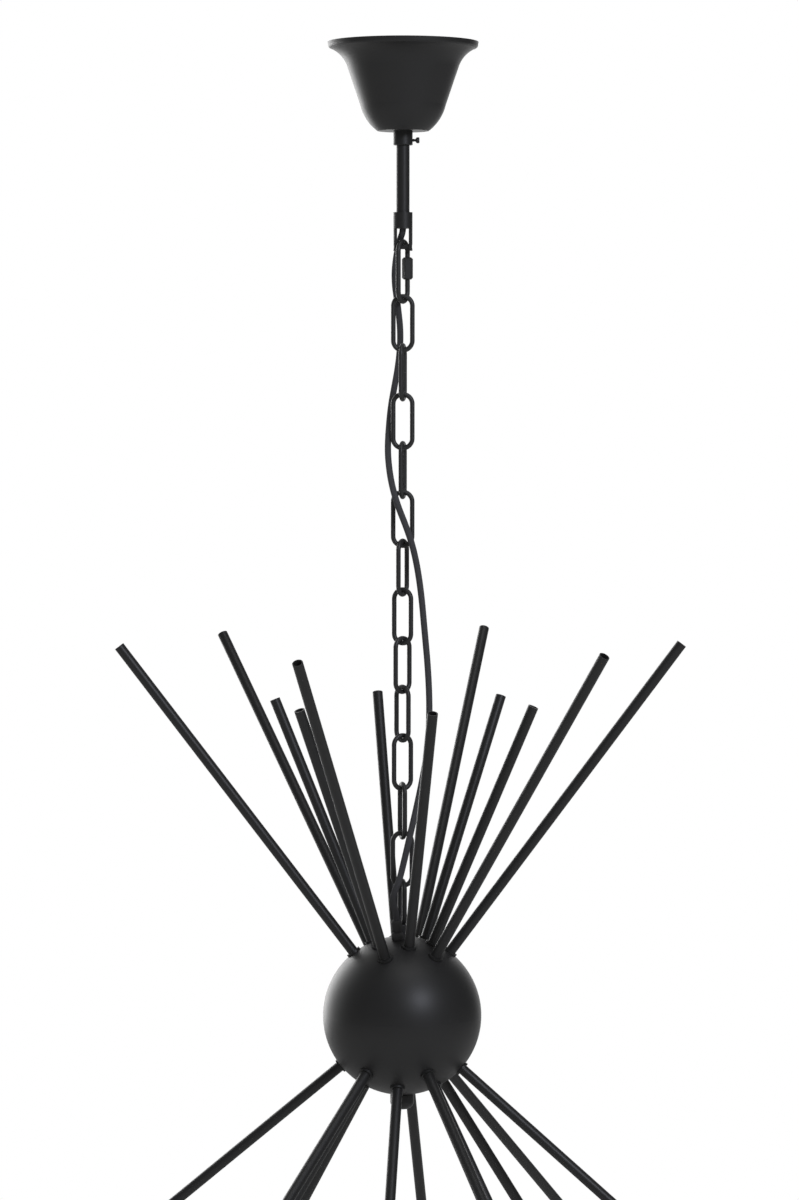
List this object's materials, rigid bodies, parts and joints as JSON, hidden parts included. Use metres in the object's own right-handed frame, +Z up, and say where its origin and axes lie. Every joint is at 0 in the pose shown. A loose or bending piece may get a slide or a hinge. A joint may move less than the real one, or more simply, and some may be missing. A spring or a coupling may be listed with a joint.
{
  "type": "sputnik chandelier",
  "caption": "Ceiling chandelier hung on a chain: bell canopy, stem, quick link, and a hollow ball with bare tubes spread upward and lamp arms spread downward.",
  "frame": {"origin": "on the ceiling plane, on the axis of the stem, where the bracket bears on the ceiling", "axes": "+Z up into the ceiling, +X along the bracket between its slots, -Y towards the pictured front"},
  "size_m": [0.708, 0.6595, 1.0666],
  "materials": {
    "black_coat": "matte to satin black powder coat",
    "black_chain": "satin black paint on wire",
    "zinc_steel": "zinc-plated steel",
    "brass": "plain brass",
    "white_plastic": "moulded",
    "black_plastic": "moulded, fine grain",
    "black_cord": "smooth round cable jacket",
    "lead_insulation": "silicone sleeve",
    "clear_glass": "clear blown glass"
  },
  "bodies": {
    "ceiling_mount": {"ceiling_bracket": "zinc_steel", "terminal_block": "white_plastic", "terminal_screws": "brass", "earth_screw": "brass", "stem_washers": "zinc_steel", "stem_nuts": "zinc_steel", "stem_tube": "black_coat", "yoke": "black_coat", "yoke_pin": "black_coat", "supply_cord": "black_cord"},
    "collar": {"canopy_collar": "black_coat"},
    "thumb_screw": {"thumb_screw": "black_coat"},
    "canopy": {"canopy": "black_coat"},
    "quick_link": {"quick_link": "black_chain"},
    "sleeve": {"quick_link_sleeve": "black_chain"},
    "link_01": {"link_01": "black_chain"},
    "link_02": {"link_02": "black_chain"},
    "link_03": {"link_03": "black_chain"},
    "link_04": {"link_04": "black_chain"},
    "link_05": {"link_05": "black_chain"},
    "link_06": {"link_06": "black_chain"},
    "link_07": {"link_07": "black_chain"},
    "link_08": {"link_08": "black_chain"},
    "link_09": {"link_09": "black_chain"},
    "link_10": {"link_10": "black_chain"},
    "link_11": {"link_11": "black_chain"},
    "link_12": {"link_12": "black_chain"},
    "ball": {"ball_hook": "black_coat", "ball_upper": "black_coat", "ball_lower": "black_coat", "centre_rod": "zinc_steel", "rod_nuts": "zinc_steel", "finial": "black_coat", "upper_long_arms": "black_coat", "upper_short_arms": "black_coat", "lower_outer_arms": "black_coat", "lower_inner_arms": "black_coat", "arm_flanges": "black_coat", "arm_nuts": "zinc_steel", "lampholder_cups": "black_coat", "lampholder_inserts": "black_plastic", "ball_terminal": "white_plastic", "lamp_leads": "lead_insulation", "cord_gland": "black_plastic"},
    "lamp_01": {"lamp_01": "clear_glass"},
    "lamp_02": {"lamp_02": "clear_glass"},
    "lamp_03": {"lamp_03": "clear_glass"},
    "lamp_04": {"lamp_04": "clear_glass"},
    "lamp_05": {"lamp_05": "clear_glass"},
    "lamp_06": {"lamp_06": "clear_glass"},
    "lamp_07": {"lamp_07": "clear_glass"},
    "lamp_08": {"lamp_08": "clear_glass"},
    "lamp_09": {"lamp_09": "clear_glass"},
    "lamp_10": {"lamp_10": "clear_glass"},
    "lamp_11": {"lamp_11": "clear_glass"},
    "lamp_12": {"lamp_12": "clear_glass"}
  },
  "joints": [
    {"name": "collar_slide", "type": "slide", "parent": "ceiling_mount", "child": "collar", "axis": [0, 0, -1], "range_m": [0, 0.051]},
    {"name": "canopy_slide", "type": "slide", "parent": "ceiling_mount", "child": "canopy", "axis": [0, 0, -1], "range_m": [0, 0.051]},
    {"name": "thumb_screw_back_off", "type": "slide", "parent": "collar", "child": "thumb_screw", "axis": [1, 0, 0], "range_m": [0, 0.002]},
    {"name": "quick_link_swing", "type": "hinge", "parent": "ceiling_mount", "child": "quick_link", "pos_m": [0, 0, -0.1581], "axis": [1, 0, 0], "range_deg": [-20, 20], "deforming": ["supply_cord"]},
    {"name": "sleeve_open", "type": "slide", "parent": "quick_link", "child": "sleeve", "axis": [0, 0, -1], "range_m": [0, 0.009]},
    {"name": "link_01_swing", "type": "hinge", "parent": "quick_link", "child": "link_01", "pos_m": [0, 0, -0.20045], "axis": [0.4384, 0.8988, 0], "range_deg": [-30, 30], "deforming": ["supply_cord"]},
    {"name": "link_02_swing", "type": "hinge", "parent": "link_01", "child": "link_02", "pos_m": [0, 0, -0.23835], "axis": [-1, 0, 0], "range_deg": [-30, 30], "deforming": ["supply_cord"]},
    {"name": "link_03_swing", "type": "hinge", "parent": "link_02", "child": "link_03", "pos_m": [0, 0, -0.27635], "axis": [-0.1908, -0.9816, 0], "range_deg": [-30, 30], "deforming": ["supply_cord"]},
    {"name": "link_04_swing", "type": "hinge", "parent": "link_03", "child": "link_04", "pos_m": [0, 0, -0.31435], "axis": [1, 0, 0], "range_deg": [-30, 30], "deforming": ["supply_cord"]},
    {"name": "link_05_swing", "type": "hinge", "parent": "link_04", "child": "link_05", "pos_m": [0, 0, -0.35235], "axis": [0.1908, 0.9816, 0], "range_deg": [-30, 30], "deforming": ["supply_cord"]},
    {"name": "link_06_swing", "type": "hinge", "parent": "link_05", "child": "link_06", "pos_m": [0, 0, -0.39035], "axis": [-1, 0, 0], "range_deg": [-30, 30], "deforming": ["supply_cord"]},
    {"name": "link_07_swing", "type": "hinge", "parent": "link_06", "child": "link_07", "pos_m": [0, 0, -0.42835], "axis": [-0.4384, -0.8988, 0], "range_deg": [-30, 30], "deforming": ["supply_cord"]},
    {"name": "link_08_swing", "type": "hinge", "parent": "link_07", "child": "link_08", "pos_m": [0, 0, -0.46635], "axis": [0.8829, -0.4695, 0], "range_deg": [-30, 30], "deforming": ["supply_cord"]},
    {"name": "link_09_swing", "type": "hinge", "parent": "link_08", "child": "link_09", "pos_m": [0, 0, -0.50435], "axis": [0.7193, 0.6947, 0], "range_deg": [-30, 30], "deforming": ["supply_cord"]},
    {"name": "link_10_swing", "type": "hinge", "parent": "link_09", "child": "link_10", "pos_m": [0, 0, -0.54235], "axis": [0.6293, -0.7771, 0], "range_deg": [-30, 30], "deforming": ["supply_cord"]},
    {"name": "link_11_swing", "type": "hinge", "parent": "link_10", "child": "link_11", "pos_m": [0, 0, -0.58035], "axis": [-0.8829, -0.4695, 0], "range_deg": [-30, 30], "deforming": ["supply_cord"]},
    {"name": "link_12_swing", "type": "hinge", "parent": "link_11", "child": "link_12", "pos_m": [0, 0, -0.61835], "axis": [-0.2588, 0.9659, 0], "range_deg": [-30, 30], "deforming": ["supply_cord"]},
    {"name": "ball_swing", "type": "hinge", "parent": "link_12", "child": "ball", "pos_m": [0, 0, -0.65635], "axis": [1, 0, 0], "range_deg": [-30, 30], "deforming": ["supply_cord"]},
    {"name": "lamp_01_draw", "type": "slide", "parent": "ball", "child": "lamp_01", "axis": [0.4559, 0.6184, -0.6401], "range_m": [0, 0.024]},
    {"name": "lamp_02_draw", "type": "slide", "parent": "ball", "child": "lamp_02", "axis": [-0.3125, 0.7019, -0.6401], "range_m": [0, 0.024]},
    {"name": "lamp_03_draw", "type": "slide", "parent": "ball", "child": "lamp_03", "axis": [-0.7625, 0.0842, -0.6414], "range_m": [0, 0.024]},
    {"name": "lamp_04_draw", "type": "slide", "parent": "ball", "child": "lamp_04", "axis": [-0.4451, -0.6262, -0.6401], "range_m": [0, 0.024]},
    {"name": "lamp_05_draw", "type": "slide", "parent": "ball", "child": "lamp_05", "axis": [0.321, -0.698, -0.6401], "range_m": [0, 0.024]},
    {"name": "lamp_06_draw", "type": "slide", "parent": "ball", "child": "lamp_06", "axis": [0.7475, -0.1332, -0.6508], "range_m": [0, 0.024]},
    {"name": "lamp_07_draw", "type": "slide", "parent": "ball", "child": "lamp_07", "axis": [0.496, 0.2355, -0.8358], "range_m": [0, 0.024]},
    {"name": "lamp_08_draw", "type": "slide", "parent": "ball", "child": "lamp_08", "axis": [0.0774, 0.5435, -0.8358], "range_m": [0, 0.024]},
    {"name": "lamp_09_draw", "type": "slide", "parent": "ball", "child": "lamp_09", "axis": [-0.4156, 0.3587, -0.8358], "range_m": [0, 0.024]},
    {"name": "lamp_10_draw", "type": "slide", "parent": "ball", "child": "lamp_10", "axis": [-0.5016, -0.2233, -0.8358], "range_m": [0, 0.024]},
    {"name": "lamp_11_draw", "type": "slide", "parent": "ball", "child": "lamp_11", "axis": [-0.0574, -0.546, -0.8358], "range_m": [0, 0.024]},
    {"name": "lamp_12_draw", "type": "slide", "parent": "ball", "child": "lamp_12", "axis": [0.408, -0.3674, -0.8358], "range_m": [0, 0.024]}
  ],
  "couplings": [
    {"joint": "canopy_slide", "follows": "collar_slide", "ratio": 1}
  ]
}
